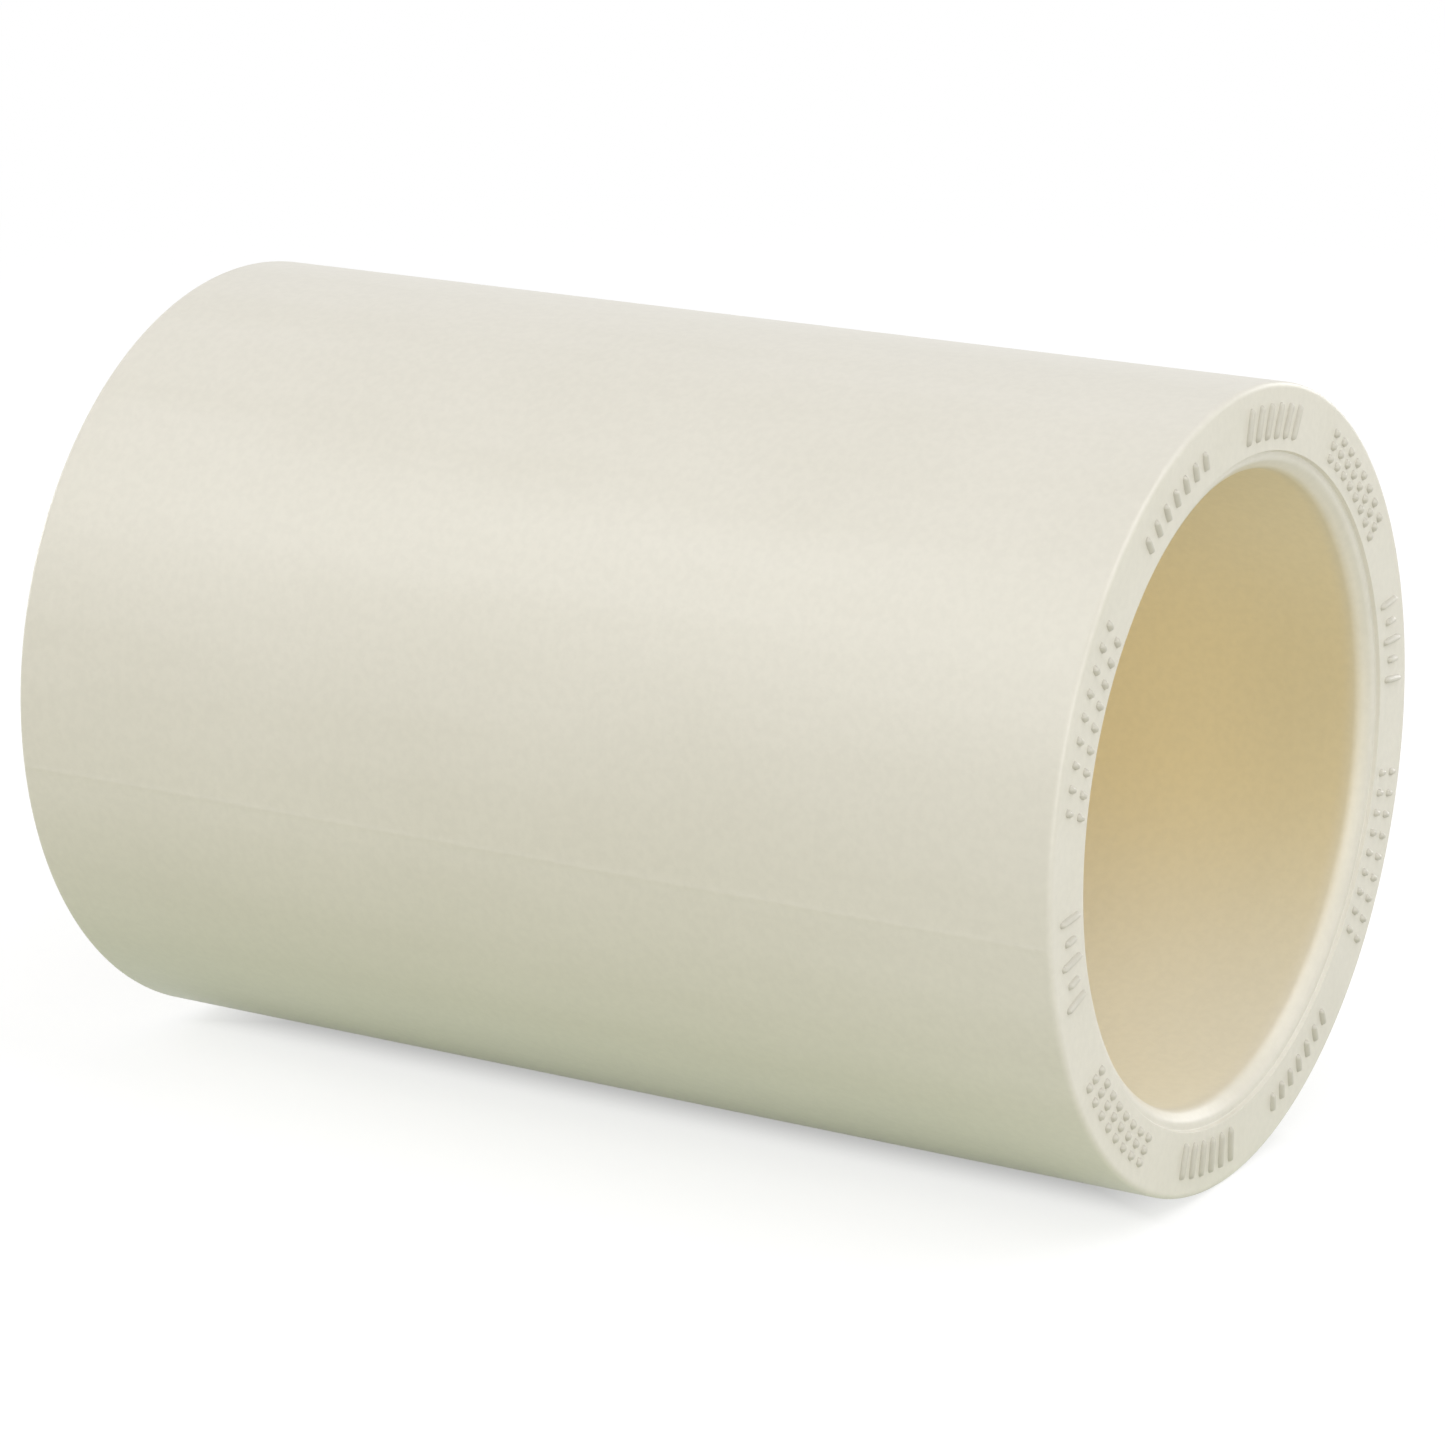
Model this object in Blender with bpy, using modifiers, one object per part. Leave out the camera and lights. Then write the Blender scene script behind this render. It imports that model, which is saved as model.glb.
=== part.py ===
"""Reducing coupling for solvent-weld plastic pipe.

A plain coupling body with a tapered pipe socket at each end, and a flush reducing bushing pushed into its
far socket, so that a large pipe joins a small one. The common axis is the X axis, with the origin at its middle
and the open large socket at +X. The body lies on its side, on the lowest flat of its outside.
"""
import math

import bmesh
import bpy

# Driving dimensions, in metres.

# Large pipe socket, the same at both ends of the body
LARGE_SOCKET_MOUTH = 0.02245  # bore diameter just inside the lead-in
LARGE_SOCKET_DEPTH = 0.0195  # from the rim to the pipe stop
LARGE_PIPE_WALL = 0.00203  # height of the stop ring, which ends level with the pipe's bore

# Small pipe socket in the bushing
SMALL_SOCKET_MOUTH = 0.01608
SMALL_PIPE_WALL = 0.00173

# Features that every socket shares
SOCKET_TAPER = 0.00036  # loss of bore diameter from the lead-in to the pipe stop
LEAD_IN_WIDTH = 0.00065  # radial width of the chamfer at a socket's mouth
LEAD_IN_DEPTH = 0.00065  # length of that chamfer along the axis

# Coupling body
BODY_WALL = 0.0031  # wall thickness at the socket mouth
STOP_RING_WIDTH = 0.0030  # length of the stop ring along the axis
RIM_EDGE_RADIUS = 0.0004  # rounding of the outer edge of every rim

# Reducing bushing
STOP_LAND = 0.0020  # straight bore behind the small pipe stop
FLARE_LENGTH = 0.0037  # cone from that bore out to the bore of the body's stop ring
SPIGOT_CHAMFER = 0.0008  # leading edge of the spigot
SPIGOT_CLEARANCE = 0.0002  # radial gap between the spigot and its socket
SEAT_GAP = 0.0003  # axial gap between the spigot's end and the stop ring

# Fineness of the turned shapes
FACETS = 48  # flats round the axis
ARC_STEPS = 4  # straight steps in a rounded edge
SHARP_ANGLE = math.radians(30)  # edges steeper than this stay crisp in the shading

# Colours are linear RGBA.
BODY_CREAM = (0.760, 0.730, 0.624, 1.0)
BUSHING_CREAM = (0.730, 0.690, 0.570, 1.0)
MOULDED_ROUGHNESS = 0.42

# Sizes that follow from the driving dimensions
LARGE_MOUTH_RADIUS = LARGE_SOCKET_MOUTH / 2
SMALL_MOUTH_RADIUS = SMALL_SOCKET_MOUTH / 2
OUTER_RADIUS = LARGE_MOUTH_RADIUS + BODY_WALL
BODY_LENGTH = 2 * LARGE_SOCKET_DEPTH + STOP_RING_WIDTH
BUSHING_LENGTH = LARGE_SOCKET_DEPTH - SEAT_GAP
SMALL_SOCKET_DEPTH = BUSHING_LENGTH - STOP_LAND - FLARE_LENGTH
STOP_RING_RADIUS = LARGE_MOUTH_RADIUS - SOCKET_TAPER / 2 - LARGE_PIPE_WALL


def clear_scene():
    for scene_object in list(bpy.data.objects):
        bpy.data.objects.remove(scene_object, do_unlink=True)


def new_collection(name):
    collection = bpy.data.collections.new(name)
    bpy.context.scene.collection.children.link(collection)
    return collection


def moulded_plastic(name, colour):
    """Plain satin plastic in one colour."""
    material = bpy.data.materials.new(name)
    material.use_nodes = True
    shader = material.node_tree.nodes["Principled BSDF"]
    shader.inputs["Base Color"].default_value = colour
    shader.inputs["Roughness"].default_value = MOULDED_ROUGHNESS
    shader.inputs["Metallic"].default_value = 0.0
    return material


def arc(centre_radius, centre_height, size, start_degrees, end_degrees):
    """Points of a rounded edge in the (radius, height) plane, both ends included."""
    points = []
    for step in range(ARC_STEPS + 1):
        angle = math.radians(start_degrees + (end_degrees - start_degrees) * step / ARC_STEPS)
        points.append((centre_radius + size * math.cos(angle), centre_height + size * math.sin(angle)))
    return points


def socket_outline(mouth_radius, socket_depth, pipe_wall):
    """Lead-in, tapered wall and pipe stop as (radius, depth) points, from the rim inwards."""
    bottom_radius = mouth_radius - SOCKET_TAPER / 2
    return [
        (mouth_radius + LEAD_IN_WIDTH, 0.0),
        (mouth_radius, LEAD_IN_DEPTH),
        (bottom_radius, socket_depth),
        (bottom_radius - pipe_wall, socket_depth),
    ]


def spigot_radius(depth):
    """Outside of the spigot at a depth in the large socket: the socket's taper, less the clearance."""
    share = (depth - LEAD_IN_DEPTH) / (LARGE_SOCKET_DEPTH - LEAD_IN_DEPTH)
    return LARGE_MOUTH_RADIUS - share * SOCKET_TAPER / 2 - SPIGOT_CLEARANCE


def body_outline():
    """Section of the body: down the outside, then up through the far socket, stop ring and near socket."""
    half = BODY_LENGTH / 2
    edge_centre = OUTER_RADIUS - RIM_EDGE_RADIUS
    near_edge = arc(edge_centre, half - RIM_EDGE_RADIUS, RIM_EDGE_RADIUS, 90, 0)
    far_edge = arc(edge_centre, RIM_EDGE_RADIUS - half, RIM_EDGE_RADIUS, 0, -90)
    socket = socket_outline(LARGE_MOUTH_RADIUS, LARGE_SOCKET_DEPTH, LARGE_PIPE_WALL)
    far_socket = [(radius, depth - half) for radius, depth in socket]
    near_socket = [(radius, half - depth) for radius, depth in reversed(socket)]
    return near_edge + far_edge + far_socket + near_socket


def bushing_outline():
    """Section of the bushing: down the spigot, across the flush face, then up through its waterway."""
    shoulder = BUSHING_LENGTH - SPIGOT_CHAMFER
    spigot = [
        (spigot_radius(BUSHING_LENGTH) - SPIGOT_CHAMFER, BUSHING_LENGTH),
        (spigot_radius(shoulder), shoulder),
    ]
    edge_centre = spigot_radius(RIM_EDGE_RADIUS) - RIM_EDGE_RADIUS
    face_edge = arc(edge_centre, RIM_EDGE_RADIUS, RIM_EDGE_RADIUS, 0, -90)
    socket = socket_outline(SMALL_MOUTH_RADIUS, SMALL_SOCKET_DEPTH, SMALL_PIPE_WALL)
    waterway_radius = socket[-1][0]
    waterway = [
        (waterway_radius, SMALL_SOCKET_DEPTH + STOP_LAND),
        (STOP_RING_RADIUS, BUSHING_LENGTH),
    ]
    return spigot + face_edge + socket + waterway


def turn(name, outline, material, collection):
    """Turn a closed (radius, height) outline about the local Z axis into a solid.

    The outline stands half a facet away from local X, so that a flat and not an edge faces along local X,
    which the pipe axis points straight down.
    """
    half_facet = math.pi / FACETS
    profile = bmesh.new()
    corners = []
    for radius, height in outline:
        place = (radius * math.cos(half_facet), radius * math.sin(half_facet), height)
        corners.append(profile.verts.new(place))
    for first, second in zip(corners, corners[1:] + corners[:1]):
        profile.edges.new((first, second))
    mesh = bpy.data.meshes.new(name + "_profile")
    profile.to_mesh(mesh)
    profile.free()

    turned = bpy.data.objects.new(name, mesh)
    collection.objects.link(turned)
    screw = turned.modifiers.new("turn", "SCREW")
    screw.axis = "Z"
    screw.angle = 2 * math.pi
    screw.steps = FACETS
    screw.render_steps = FACETS
    screw.use_merge_vertices = True
    screw.merge_threshold = 0.00001

    evaluated = turned.evaluated_get(bpy.context.evaluated_depsgraph_get())
    solid = bpy.data.meshes.new_from_object(evaluated)
    solid.name = name
    solid.shade_smooth()
    solid.set_sharp_from_angle(angle=SHARP_ANGLE)
    solid.materials.clear()
    solid.materials.append(material)
    turned.modifiers.clear()
    turned.data = solid
    bpy.data.meshes.remove(mesh)
    return turned


def pipe_axis(collection):
    """Empty at the origin, the middle of the common axis, with its Z along world X."""
    axis = bpy.data.objects.new("pipe_axis", None)
    axis.rotation_euler = (0.0, math.pi / 2, 0.0)
    axis.empty_display_size = OUTER_RADIUS
    collection.objects.link(axis)
    return axis


def coupling_body(collection, axis):
    """The moulded tube, centred on the axis."""
    material = moulded_plastic("body_plastic", BODY_CREAM)
    body = turn("coupling_body", body_outline(), material, collection)
    body.parent = axis
    return body


def reducing_bushing(collection, axis):
    """The insert in the far socket, with its origin on the axis at its flush outer face."""
    material = moulded_plastic("bushing_plastic", BUSHING_CREAM)
    bushing = turn("reducing_bushing", bushing_outline(), material, collection)
    bushing.parent = axis
    bushing.location = (0.0, 0.0, -BODY_LENGTH / 2)
    return bushing


clear_scene()
coupling = new_collection("reducing_coupling")
shared_axis = pipe_axis(coupling)
coupling_body(coupling, shared_axis)
reducing_bushing(coupling, shared_axis)
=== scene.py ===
"""Reducing coupling for solvent-weld plastic pipe, on a pale floor with its open socket to the right."""
import math

import bpy
import numpy as np
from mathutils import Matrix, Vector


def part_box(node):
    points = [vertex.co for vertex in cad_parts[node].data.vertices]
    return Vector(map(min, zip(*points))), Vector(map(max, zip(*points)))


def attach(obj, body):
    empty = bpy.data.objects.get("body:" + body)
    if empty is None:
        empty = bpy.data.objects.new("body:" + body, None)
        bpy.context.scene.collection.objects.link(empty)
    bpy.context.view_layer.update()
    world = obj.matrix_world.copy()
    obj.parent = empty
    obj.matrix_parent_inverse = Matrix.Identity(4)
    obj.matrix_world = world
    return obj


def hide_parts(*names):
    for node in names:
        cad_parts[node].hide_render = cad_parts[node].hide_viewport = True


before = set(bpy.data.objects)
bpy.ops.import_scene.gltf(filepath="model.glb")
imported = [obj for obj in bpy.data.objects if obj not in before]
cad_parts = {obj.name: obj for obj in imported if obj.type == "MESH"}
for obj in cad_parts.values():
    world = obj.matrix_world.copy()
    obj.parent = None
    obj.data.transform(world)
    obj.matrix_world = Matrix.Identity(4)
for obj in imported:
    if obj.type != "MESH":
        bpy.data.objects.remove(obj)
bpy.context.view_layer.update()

# Coupling body: an injection-moulded CPVC tube with a plain outside and a tapered pipe socket in each end.
# Two mould halves close round it and leave a faint ridge along each side. A core pin forms each socket, and
# the sleeve round the pin, which pushes the part off, leaves a fine step in the rim.
MM = 0.001
body_low, body_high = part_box("coupling_body")
half_length = body_high.x
outer_radius = body_high.z
socket_depth = 19.5 * MM
mouth_radius = 11.225 * MM
bottom_radius = 11.045 * MM
stop_radius = 9.015 * MM
lead_in = 0.4 * MM  # width and depth of the chamfer at a socket's mouth
rim_edge = 0.22 * MM  # reach of the rounding on the rim's outer edge
step_outside = 11.93 * MM  # radii of the steep step that the sleeve leaves
step_inside = 11.87 * MM
step_depth = 0.15 * MM
fade_depth = 1.4 * MM  # the rows stand closer round here, where the painted glow in the bore fades in
body_row = 1.6 * MM  # widest spacing of the rows along the outline
column_spacing = 1.5  # degrees between the columns round the axis
parting_turns = np.radians([-97.0, 83.0])  # just below the middle of the front, and straight across from it
ridge_half_width = 0.12 * MM
ridge_height = 0.012 * MM
ridge_columns = np.arange(-8, 9) * 0.035 * MM  # extra columns across each ridge


def rounded(corners, steps=8, margin=0.03 * MM):
    """Closed (x, radius) outline with eased corners.

    A corner c with reach e becomes the curve a(1-t)^2 + 2ct(1-t) + bt^2, where a and b lie e back along its
    two sides. One more point stands a margin away on each side, so that the flats shade flat.
    """
    points = corners[:, :2]
    reach = corners[:, 2:]
    back = np.roll(points, 1, axis=0) - points
    ahead = np.roll(points, -1, axis=0) - points
    back /= np.linalg.norm(back, axis=1, keepdims=True)
    ahead /= np.linalg.norm(ahead, axis=1, keepdims=True)
    t = np.linspace(0.0, 1.0, steps + 1)[None, :, None]
    first = (points + back * reach)[:, None]
    last = (points + ahead * reach)[:, None]
    curve = first * (1 - t) ** 2 + 2 * points[:, None] * t * (1 - t) + last * t ** 2
    before = (points + back * (reach + margin))[:, None]
    after = (points + ahead * (reach + margin))[:, None]
    return np.concatenate([before, curve, after], axis=1).reshape(-1, 2)


def stepped(outline, longest):
    """The same closed outline with evenly spaced points added, so that no side is longer than longest."""
    sides = np.roll(outline, -1, axis=0) - outline
    counts = np.maximum(np.ceil(np.linalg.norm(sides, axis=1) / longest), 1).astype(int)
    side = np.repeat(np.arange(len(outline)), counts)
    step = np.arange(counts.sum()) - np.repeat(np.cumsum(counts) - counts, counts)
    return outline[side] + sides[side] * (step / counts[side])[:, None]


def ridge(angles, centres):
    """Height of the ridges at each angle.

    It is the sum over the centres of height * exp(-(distance along the wall / half width)^2).
    """
    turn = (angles[:, None] - centres[None, :] + math.pi) % (2 * math.pi) - math.pi
    return ridge_height * np.exp(-(turn * outer_radius / ridge_half_width) ** 2).sum(axis=1)


def revolve(outline, angles, swell=0.0):
    """Points (x, r sin a, r cos a) for each outline point (x, r) and angle a, with swell added to r."""
    x = np.broadcast_to(outline[:, :1], (len(outline), len(angles)))
    r = outline[:, 1:] + swell
    return np.stack([x, r * np.sin(angles), r * np.cos(angles)], axis=-1)


def mesh_piece(name, points, faces):
    """A smooth-shaded mesh object from points and quads; a quad that repeats its third corner is a triangle."""
    mesh = bpy.data.meshes.new(name)
    points = points.reshape(-1, 3)
    corners = faces.reshape(-1, 4)
    kept = np.ones(corners.shape, bool)
    kept[:, 3] = corners[:, 3] != corners[:, 2]
    sizes = kept.sum(axis=1)
    mesh.vertices.add(len(points))
    mesh.vertices.foreach_set("co", points.ravel())
    mesh.loops.add(int(sizes.sum()))
    mesh.loops.foreach_set("vertex_index", corners[kept])
    mesh.polygons.add(len(corners))
    mesh.polygons.foreach_set("loop_start", np.cumsum(sizes) - sizes)
    mesh.update(calc_edges=True)
    mesh.shade_smooth()
    piece = bpy.data.objects.new(name, mesh)
    bpy.context.scene.collection.objects.link(piece)
    return piece


def ring_faces(rows, columns):
    """Quads of a grid that closes on itself both ways."""
    row, column = np.meshgrid(np.arange(rows), np.arange(columns), indexing="ij")
    next_row = (row + 1) % rows
    next_column = (column + 1) % columns
    corners = [row * columns + column, row * columns + next_column]
    corners += [next_row * columns + next_column, next_row * columns + column]
    return np.stack(corners, axis=-1)


def set_float(piece, name, values):
    """Store one number per vertex under a name that the material reads."""
    attribute = piece.data.attributes.new(name, "FLOAT", "POINT")
    attribute.data.foreach_set("value", np.asarray(values, np.float32).ravel())


def eased(values, low, high):
    """0 below low, 1 above high, and 3t^2 - 2t^3 between them."""
    t = np.clip((values - low) / (high - low), 0.0, 1.0)
    return t * t * (3 - 2 * t)


# A row is one corner of the socket: depth from the rim, radius, reach of its easing.
fade_radius = mouth_radius - (mouth_radius - bottom_radius) * fade_depth / socket_depth
socket_corners = np.array([
    [0.0, step_outside, 0.02 * MM],
    [step_depth, step_inside, 0.02 * MM],
    [step_depth, mouth_radius + lead_in, 0.15 * MM],
    [step_depth + lead_in, mouth_radius, 0.2 * MM],
    [fade_depth, fade_radius, 0.4 * MM],
    [socket_depth, bottom_radius, 0.3 * MM],
    [socket_depth, stop_radius, 0.25 * MM],
])
near_end = socket_corners[::-1] * [-1, 1, 1] + [half_length, 0, 0]
far_end = socket_corners + [-half_length, 0, 0]
outside = np.array([[half_length, outer_radius, rim_edge], [-half_length, outer_radius, rim_edge]])
body_outline = stepped(rounded(np.concatenate([outside, far_end, near_end])), body_row)

column_turns = np.radians(np.arange(0.0, 360.0, column_spacing)) - math.pi
fine_turns = (ridge_columns / outer_radius)[None, :] + parting_turns[:, None]
body_turns = np.unique(np.concatenate([column_turns, fine_turns.ravel()]))
on_outside = (body_outline[:, 1:] > outer_radius - 0.02 * MM).astype(float)
seam = on_outside * ridge(body_turns, parting_turns)[None, :]
body_points = revolve(body_outline, body_turns, seam)
body = mesh_piece("body_moulding", body_points, ring_faces(*body_points.shape[:2]))

# Painted light in the bore: a warm tan glow, for light that comes through the wall, fades in over its first
# millimetre, and its floor and, less so, its crown are painted paler than its sides, for light that falls
# in at the mouth. Painted shade darkens its back wall low down, just inside the mouth.
lit_crown_share = 0.7
painted_shade_share = 0.17
painted_shade_turn = math.radians(118)
depth_in_socket = half_length - np.abs(body_outline[:, 0])
inside = body_outline[:, 1] < mouth_radius + lead_in
body_painted_glow = inside * eased(depth_in_socket, 0.1 * MM, 1.3 * MM)
lit_floor = eased(-np.cos(body_turns), 0.2, 1.0)
lit_crown = lit_crown_share * eased(np.cos(body_turns), 0.1, 1.0)
near_mouth = eased(depth_in_socket, 0.5 * MM, 1.2 * MM) * (1 - eased(depth_in_socket, 2 * MM, 8 * MM))
back_wall = eased(np.cos(body_turns - painted_shade_turn), 0.3, 0.95)
set_float(body, "painted_glow", np.repeat(body_painted_glow, len(body_turns)))
set_float(body, "painted_pale_light", np.tile(lit_floor + lit_crown, len(body_outline)))
set_float(body, "painted_shade", painted_shade_share * (inside * near_mouth)[:, None] * back_wall[None, :])


def linear(code):
    """Linear RGBA of an sRGB hex colour."""
    srgb = np.array([int(code[place:place + 2], 16) for place in (1, 3, 5)]) / 255
    rgb = np.where(srgb <= 0.04045, srgb / 12.92, ((srgb + 0.055) / 1.055) ** 2.4)
    return (*rgb.tolist(), 1.0)


def add_node(tree, kind, inputs=None, **settings):
    """A node with its settings, and each input either linked to a socket or given a value."""
    node = tree.nodes.new(kind)
    for name, value in settings.items():
        setattr(node, name, value)
    for socket, value in (inputs or {}).items():
        if isinstance(value, bpy.types.NodeSocket):
            tree.links.new(value, node.inputs[socket])
        else:
            node.inputs[socket].default_value = value
    return node


def moulded_cpvc(name, cream, shade, glow_tan, lit_glow_tan, painted_shade):
    """Injection-moulded CPVC, satin.

    The eye gets a soft, broad highlight, faint clouds and lengthwise flow streaks in the cream and a fine
    grain from the mould's steel. Painted light gives a warmer tan down the bore, for light that has come
    through the wall, and a paler tan where light falls in at the mouth. Painted shade darkens the raised
    marks and the wall just inside the mouth.
    """
    material = bpy.data.materials.new(name)
    material.use_nodes = True
    tree = material.node_tree
    tree.nodes.clear()
    place = add_node(tree, "ShaderNodeTexCoord").outputs["Object"]

    # Clouds are about 9 mm across, and streaks 30 mm long and 2 mm wide.
    cloud = add_node(tree, "ShaderNodeTexNoise", {"Vector": place, "Scale": 1 / (9 * MM), "Detail": 3.0})
    flow_scale = (1 / (30 * MM), 1 / (2 * MM), 1 / (2 * MM))
    flow_map = add_node(tree, "ShaderNodeMapping", {"Vector": place, "Scale": flow_scale})
    flow = add_node(tree, "ShaderNodeTexNoise", {
        "Vector": flow_map.outputs[0], "Scale": 1.0, "Detail": 2.0})
    # The steel's grain is about 0.05 mm; it is drawn at 0.3 mm to show in the picture.
    grain = add_node(tree, "ShaderNodeTexNoise", {"Vector": place, "Scale": 1 / (0.3 * MM), "Detail": 2.0})

    drift = add_node(tree, "ShaderNodeMath", {0: cloud.outputs["Fac"], 1: flow.outputs["Fac"]},
                     operation="ADD")
    drift_share = add_node(tree, "ShaderNodeMapRange", {
        "Value": drift.outputs[0], "From Min": 0.7, "From Max": 1.3})
    speck = add_node(tree, "ShaderNodeMapRange", {
        "Value": grain.outputs["Fac"], "From Min": 0.35, "From Max": 0.65, "To Min": 0.97, "To Max": 1.0})
    wall = add_node(tree, "ShaderNodeMix", {0: drift_share.outputs[0], 6: linear(shade), 7: linear(cream)},
                    data_type="RGBA")
    # Per-vertex shares of painted light in the bore (warm glow, and paler where light falls in) and of painted
    # shade
    painted_glow, painted_pale_light, shade_amount = (add_node(tree, "ShaderNodeAttribute", attribute_name=layer).outputs["Fac"]
                              for layer in ("painted_glow", "painted_pale_light", "painted_shade"))
    bore = add_node(tree, "ShaderNodeMix", {0: painted_pale_light, 6: linear(glow_tan), 7: linear(lit_glow_tan)},
                    data_type="RGBA")
    toned = add_node(tree, "ShaderNodeMix", {0: painted_glow, 6: wall.outputs[2], 7: bore.outputs[2]},
                     data_type="RGBA")
    # Mixes in the painted shade colour
    shaded = add_node(tree, "ShaderNodeMix", {0: shade_amount, 6: toned.outputs[2], 7: linear(painted_shade)},
                      data_type="RGBA")
    colour = add_node(tree, "ShaderNodeMix", {0: 1.0, 6: shaded.outputs[2], 7: speck.outputs[0]},
                      data_type="RGBA", blend_type="MULTIPLY")

    roughness = add_node(tree, "ShaderNodeMapRange", {
        "Value": cloud.outputs["Fac"], "From Min": 0.3, "From Max": 0.7, "To Min": 0.33, "To Max": 0.41})
    relief = add_node(tree, "ShaderNodeBump", {
        "Height": grain.outputs["Fac"], "Strength": 0.35, "Distance": 0.02 * MM})
    shader = add_node(tree, "ShaderNodeBsdfPrincipled", {
        "Base Color": colour.outputs[2], "Roughness": roughness.outputs[0], "Normal": relief.outputs[0],
        "Metallic": 0.0, "IOR": 1.53})
    add_node(tree, "ShaderNodeOutputMaterial", {"Surface": shader.outputs[0]})
    return material


cream_cpvc = moulded_cpvc("cream_cpvc_moulded", cream="#DFDBD0", shade="#DBD7CB", glow_tan="#F8E8BF",
                          lit_glow_tan="#F0E9D5", painted_shade="#8C897A")
body.data.materials.append(cream_cpvc)
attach(body, "coupling_body")
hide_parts("coupling_body")

# Raised marks on the open rim: plain bars, dashes and pips cut into the mould's sleeve, so they stand proud
# of the rim in the same CPVC as the body and in one piece with it.
mark_radius = 12.95 * MM
mark_pitch = math.radians(3.4)
mark_counts = [6, 8, 5, 9, 7] * 2  # marks in each group
mark_leans = [12, 0] * 5  # degrees
mark_gap = 3.59  # pitches between groups
# Each group repeats one pattern: even bars, columns of pips, long and short bars by turns, or broken bars.
# A row is one stroke: offset outwards, half length, half width (mm).
long_bar = [[0.0, 0.66, 0.14]]
short_bar = [[0.0, 0.36, 0.14]]
broken_bar = [[0.45, 0.2, 0.14], [-0.45, 0.2, 0.14]]
pips = [[0.48, 0.16, 0.16], [0.0, 0.16, 0.16], [-0.48, 0.16, 0.16]]
mark_patterns = [[long_bar], [pips], [long_bar, short_bar], [broken_bar], [short_bar]]
# A stroke is a pad of four rings, from its foot in the rim to its crown.
pad_sides = 12
pad_levels = np.array([-0.06, 0.0, 0.12, 0.15]) * MM  # height of each ring above the rim
pad_insets = np.array([0.0, 0.0, 0.06, 0.11])  # how far each ring is drawn in (mm)
pad_painted_shade = np.array([0.36, 0.36, 0.29, 0.25])  # share of painted shade on each ring, most at the foot


def mark_table(counts, leans, pitch, gap, patterns):
    """Rows of (angle, offset, half sizes, lean): groups follow each other round the rim with gaps between."""
    rows = []
    cell = 0.0
    for group, (count, lean) in enumerate(zip(counts, leans)):
        pattern = patterns[group % len(patterns)]
        for member in range(count):
            rows += [[cell * pitch, *stroke, lean] for stroke in pattern[member % len(pattern)]]
            cell += 1
        cell += gap
    return np.array(rows)


def from_foot_to_crown(ring_values):
    """One value for each point of a pad: the point under its foot, every ring, and the point of its crown."""
    return np.r_[ring_values[0], np.repeat(ring_values, pad_sides), ring_values[-1]]


def raised_marks(name, table, radius, face_x):
    """Low pads with eased tops, one for each row of the table.

    Round a pad runs the curve |u/a|^4 + |v/b|^4 = 1. It is drawn in at the shoulder and crown, while the
    height rises from below the face to the crown, and both ends close in a point, where u and v are 0.
    """
    count = len(table)
    angle, out, half_a, half_b, lean = (column[:, None] for column in table.T)
    lean = np.radians(lean)
    around = np.linspace(0.0, 2 * math.pi, pad_sides, endpoint=False)
    swing = np.sqrt(np.abs(np.cos(around))) * np.sign(np.cos(around))
    sway = np.sqrt(np.abs(np.sin(around))) * np.sign(np.sin(around))
    ends = ((0, 0), (1, 1))
    u = np.pad(((half_a - pad_insets)[:, :, None] * swing).reshape(count, -1), ends)
    v = np.pad(((half_b - pad_insets)[:, :, None] * sway).reshape(count, -1), ends)
    outward = ((out + u) * np.cos(lean) - v * np.sin(lean)) * MM + radius
    sideways = ((out + u) * np.sin(lean) + v * np.cos(lean)) * MM
    x = np.broadcast_to(face_x + from_foot_to_crown(pad_levels), u.shape)
    y = outward * np.sin(angle) + sideways * np.cos(angle)
    z = outward * np.cos(angle) - sideways * np.sin(angle)
    points = np.stack([x, y, z], axis=-1)

    side = np.arange(pad_sides)
    beside = (side + 1) % pad_sides
    first = 1 + np.arange(len(pad_levels) - 1)[:, None] * pad_sides
    walls = [first + side, first + side + pad_sides, first + beside + pad_sides, first + beside]
    walls = np.stack(walls, axis=-1).reshape(-1, 4)
    foot = np.zeros_like(side)
    floor = np.stack([1 + side, 1 + beside, foot, foot], axis=-1)
    top_ring = first[-1] + pad_sides
    crown = np.full_like(side, points.shape[1] - 1)
    roof = np.stack([top_ring + beside, top_ring + side, crown, crown], axis=-1)
    pad = np.concatenate([walls, floor, roof])
    piece = mesh_piece(name, points, pad[None] + (np.arange(count) * points.shape[1])[:, None, None])
    # Painted shade: darkest at each pad's foot and lighter on its crown
    set_float(piece, "painted_shade", np.tile(from_foot_to_crown(pad_painted_shade), count))
    return piece


rim_table = mark_table(mark_counts, mark_leans, mark_pitch, mark_gap, mark_patterns)
rim_marks = raised_marks("rim_marks", rim_table, mark_radius, half_length)
rim_marks.data.materials.append(cream_cpvc)
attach(rim_marks, "coupling_body")

# Reducing bushing: a second CPVC moulding, pushed into the body's far socket until its face is flush and
# cemented there on site. Its outside follows the socket's taper, and its own socket takes the smaller pipe.
bushing_low, bushing_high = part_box("reducing_bushing")
bushing_length = bushing_high.x - bushing_low.x
spigot_clearance = 0.2 * MM
spigot_chamfer = 0.8 * MM
face_radius = mouth_radius - spigot_clearance
end_radius = bottom_radius - spigot_clearance
small_mouth = 8.04 * MM
small_bottom = 7.86 * MM
small_stop = 13.5 * MM
waterway = 6.13 * MM
flare_start = 15.5 * MM
bushing_row = 1.2 * MM
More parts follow.
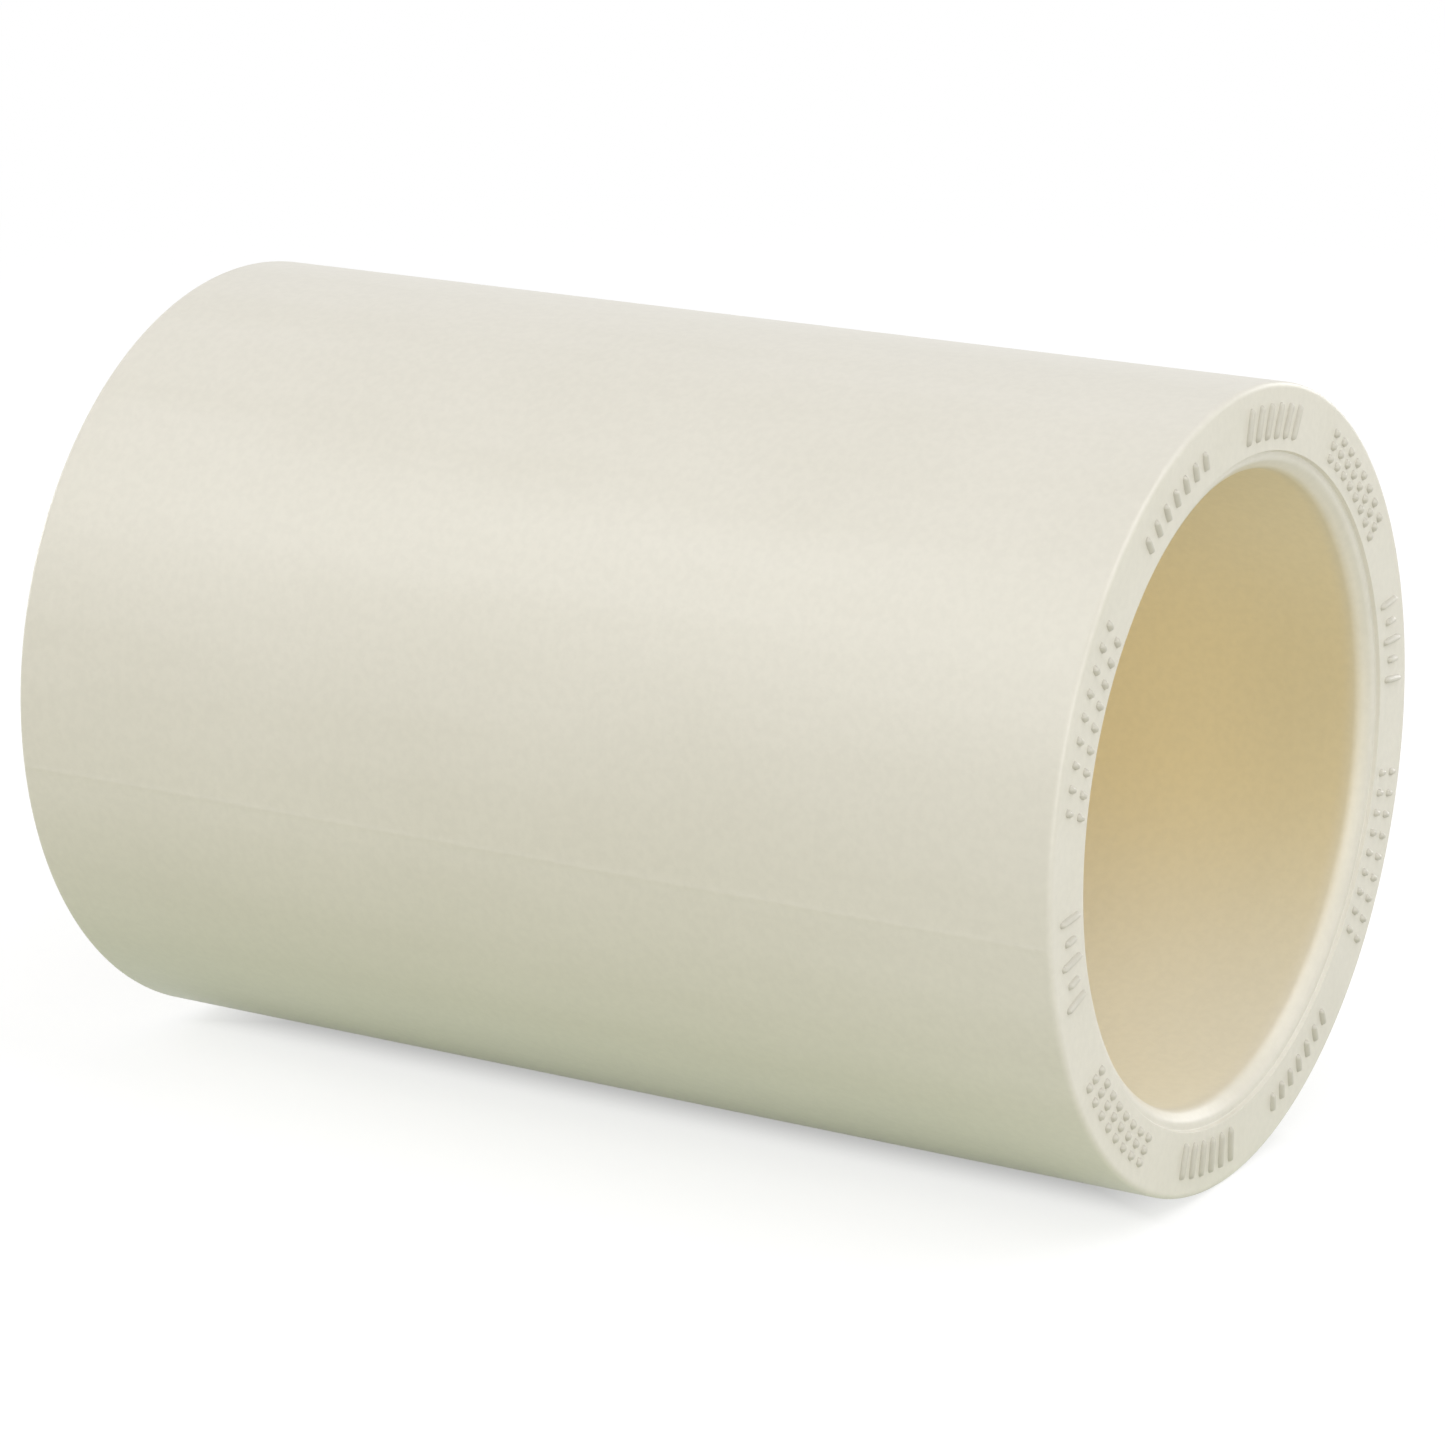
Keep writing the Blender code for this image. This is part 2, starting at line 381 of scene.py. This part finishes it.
# A row is one corner: depth from the flush face, radius, reach of its easing.
bushing_corners = np.array([
    [bushing_length, end_radius - spigot_chamfer, 0.15 * MM],
    [bushing_length - spigot_chamfer, end_radius, 0.2 * MM],
    [0.0, face_radius, 0.5 * MM],
    [0.0, small_mouth + lead_in, 0.06 * MM],
    [lead_in, small_mouth, 0.2 * MM],
    [fade_depth, small_mouth - (small_mouth - small_bottom) * fade_depth / small_stop, 0.4 * MM],
    [small_stop, small_bottom, 0.25 * MM],
    [small_stop, waterway, 0.25 * MM],
    [flare_start, waterway, 0.8 * MM],
    [bushing_length, stop_radius, 0.15 * MM],
]) + [bushing_low.x, 0, 0]
bushing_outline = stepped(rounded(bushing_corners), bushing_row)
bushing_turns = np.radians(np.arange(0.0, 360.0, column_spacing))
bushing_points = revolve(bushing_outline, bushing_turns)
bushing = mesh_piece("bushing_moulding", bushing_points, ring_faces(*bushing_points.shape[:2]))
bushing_depth = bushing_outline[:, 0] - bushing_low.x
in_bore = bushing_outline[:, 1] < small_mouth + lead_in
# Painted light: a warm tan glow fades in down the small bore, for light that comes through the wall
bushing_painted_glow = in_bore * eased(bushing_depth, 0.25 * MM, 1.15 * MM)
set_float(bushing, "painted_glow", np.repeat(bushing_painted_glow, len(bushing_turns)))
ivory_cpvc = moulded_cpvc("ivory_cpvc_moulded", cream="#DDD9CA", shade="#D9D5C6", glow_tan="#F2E7CB",
                          lit_glow_tan="#E9E2CD", painted_shade="#8C897A")
bushing.data.materials.append(ivory_cpvc)
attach(bushing, "reducing_bushing")
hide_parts("reducing_bushing")

# Floor: a pale sheet of paper. The camera sees it white, with the part's soft shadow, and a deeper painted
# shadow where they touch: less of its white glow there. The light that it throws back on to the part is
# dimmer, and a little green close to the part, which cools the tone low on the wall.
floor_half = 1.5
floor_z = body_low.z
contact_glow = 0.38  # white added to the sheet's own shading where the part touches it
clear_glow = 0.75  # the same, clear of the part
mirrored_spread = 3.2 * MM  # how much wider the wall mirrors the contact shadow than the camera sees it
smooth = {"interpolation_type": "SMOOTHSTEP"}
corners = np.array([[-1, -1], [1, -1], [1, 1], [-1, 1]]) * floor_half
floor = mesh_piece("floor", np.c_[corners, np.full(4, floor_z)], np.arange(4))
sheet = bpy.data.materials.new("pale_paper_sheet")
sheet.use_nodes = True
tree = sheet.node_tree
tree.nodes.clear()


def shown_rays(tree, path):
    """1 for what the camera, gloss and glass show, 0 for light that is thrown on: the highest of the three."""
    seen = add_node(tree, "ShaderNodeMath", operation="MAXIMUM", inputs={
        0: path.outputs["Is Camera Ray"], 1: path.outputs["Is Glossy Ray"]})
    seen = add_node(tree, "ShaderNodeMath", operation="MAXIMUM", inputs={
        0: seen.outputs[0], 1: path.outputs["Is Transmission Ray"]})
    return seen.outputs[0]


path = add_node(tree, "ShaderNodeLightPath")
seen = shown_rays(tree, path)
ground = add_node(tree, "ShaderNodeTexCoord").outputs["Object"]
spot = add_node(tree, "ShaderNodeSeparateXYZ", {0: ground})
beside = add_node(tree, "ShaderNodeMath", {0: spot.outputs["Y"]}, operation="ABSOLUTE")
along = add_node(tree, "ShaderNodeMath", {0: spot.outputs["X"]}, operation="ABSOLUTE")
distance = add_node(tree, "ShaderNodeVectorMath", {0: ground}, operation="LENGTH")

away = add_node(tree, "ShaderNodeMapRange", {
    "Value": beside.outputs[0], "From Min": 12 * MM, "From Max": 28 * MM}, **smooth)
in_front = add_node(tree, "ShaderNodeMapRange", {
    "Value": spot.outputs["X"], "From Min": 18 * MM, "From Max": 26 * MM}, **smooth)
side_tint = add_node(tree, "ShaderNodeMix", {
    0: away.outputs[0], 6: linear("#C2CFAA"), 7: linear("#D0CFB9")}, data_type="RGBA")
tint = add_node(tree, "ShaderNodeMix", {
    0: in_front.outputs[0], 6: side_tint.outputs[2], 7: linear("#D3D4C5")}, data_type="RGBA")
bounce = add_node(tree, "ShaderNodeBsdfDiffuse", {"Color": tint.outputs[2]})

# Painted shadow: less white glow close to the part, reaching wider in reflections
shadow_side = add_node(tree, "ShaderNodeMath", {
    0: path.outputs["Is Glossy Ray"], 1: -mirrored_spread, 2: beside.outputs[0]}, operation="MULTIPLY_ADD")
clear_beside = add_node(tree, "ShaderNodeMapRange", {
    "Value": shadow_side.outputs[0], "From Min": 2 * MM, "From Max": 5.5 * MM,
    "To Min": contact_glow, "To Max": clear_glow}, **smooth)
clear_along = add_node(tree, "ShaderNodeMapRange", {
    "Value": along.outputs[0], "From Min": 15 * MM, "From Max": 22 * MM,
    "To Min": contact_glow, "To Max": clear_glow}, **smooth)
clear = add_node(tree, "ShaderNodeMath", {0: clear_beside.outputs[0], 1: clear_along.outputs[0]},
                 operation="MAXIMUM")
glow = add_node(tree, "ShaderNodeEmission", {"Color": linear("#FFFFFF"), "Strength": clear.outputs[0]})
paper = add_node(tree, "ShaderNodeBsdfDiffuse", {"Color": linear("#9A9A9A")})
near_sheet = add_node(tree, "ShaderNodeAddShader", {0: paper.outputs[0], 1: glow.outputs[0]})
far_sheet = add_node(tree, "ShaderNodeEmission", {"Color": linear("#FFFFFF"), "Strength": 1.0})
far_off = add_node(tree, "ShaderNodeMapRange", {
    "Value": distance.outputs["Value"], "From Min": 60 * MM, "From Max": 180 * MM}, **smooth)
white = add_node(tree, "ShaderNodeMixShader", {
    0: far_off.outputs[0], 1: near_sheet.outputs[0], 2: far_sheet.outputs[0]})
shown = add_node(tree, "ShaderNodeMixShader", {0: seen, 1: bounce.outputs[0], 2: white.outputs[0]})
add_node(tree, "ShaderNodeOutputMaterial", {"Surface": shown.outputs[0]})
floor.data.materials.append(sheet)

# Studio light: a white surround and six soft boxes. A wide one stands over the camera's left shoulder, with
# a smaller one above it for the sheen along the wall. The next two stand beside the open socket and above
# that end, and two low ones fill the back and the far end.
surround_light = 0.44  # share of white that the surround throws on the part; it is seen as full white
box_distance = 0.6
world = bpy.data.worlds.new("studio")
bpy.context.scene.world = world
world.use_nodes = True
tree = world.node_tree
tree.nodes.clear()
seen = shown_rays(tree, add_node(tree, "ShaderNodeLightPath"))
level = add_node(tree, "ShaderNodeMapRange", {"Value": seen, "To Min": surround_light, "To Max": 1.0})
surround = add_node(tree, "ShaderNodeBackground", {
    "Color": linear("#FFFFFF"), "Strength": level.outputs[0]})
add_node(tree, "ShaderNodeOutputWorld", {"Surface": surround.outputs[0]})


def soft_box(name, direction, size, strength):
    """A square area light that faces the origin.

    Strength is the share of white that it alone gives a facing wall: power = strength * pi^2 * distance^2.
    """
    light = bpy.data.lights.new(name, "AREA")
    light.shape = "SQUARE"
    light.size = size
    light.energy = strength * math.pi ** 2 * box_distance ** 2
    lamp = bpy.data.objects.new(name, light)
    toward = np.array(direction) / np.linalg.norm(direction)
    lamp.location = toward * box_distance
    lamp.rotation_euler = lamp.location.to_track_quat("Z", "Y").to_euler()
    bpy.context.scene.collection.objects.link(lamp)


soft_box("key_box", (-0.3, -0.8, 0.68), size=0.5, strength=0.19)
soft_box("sheen_box", (-0.49, -0.5, 0.72), size=0.27, strength=0.09)
soft_box("side_box", (0.8, -0.6, 0.1), size=0.5, strength=0.5)
soft_box("end_box", (0.54, 0.08, 0.84), size=0.5, strength=0.42)
soft_box("back_box", (0.2, 0.95, 0.12), size=0.3, strength=0.2)
soft_box("far_box", (-1.0, 0.0, 0.15), size=0.2, strength=0.28)

# Camera: at the photograph's angle, with a long lens close to eye level.
camera_turn = math.radians(30.6)
camera_rise = math.radians(16.1)
camera_distance = 195.0 * MM
aim_right = 0.17 * MM
aim_up = -0.53 * MM
level_reach = math.cos(camera_rise)
right = np.array([math.cos(camera_turn), math.sin(camera_turn), 0.0])
back = np.array([math.sin(camera_turn) * level_reach, -math.cos(camera_turn) * level_reach,
                 math.sin(camera_rise)])
lens = bpy.data.cameras.new("camera")
lens.sensor_width = 36.0
lens.lens = 132.9
lens.clip_start = 0.01
camera = bpy.data.objects.new("camera", lens)
camera.location = right * aim_right + np.cross(back, right) * aim_up + back * camera_distance
camera.rotation_euler = (math.pi / 2 - camera_rise, 0.0, camera_turn)
bpy.context.scene.collection.objects.link(camera)
bpy.context.scene.camera = camera
bpy.context.scene.view_settings.view_transform = "Standard"
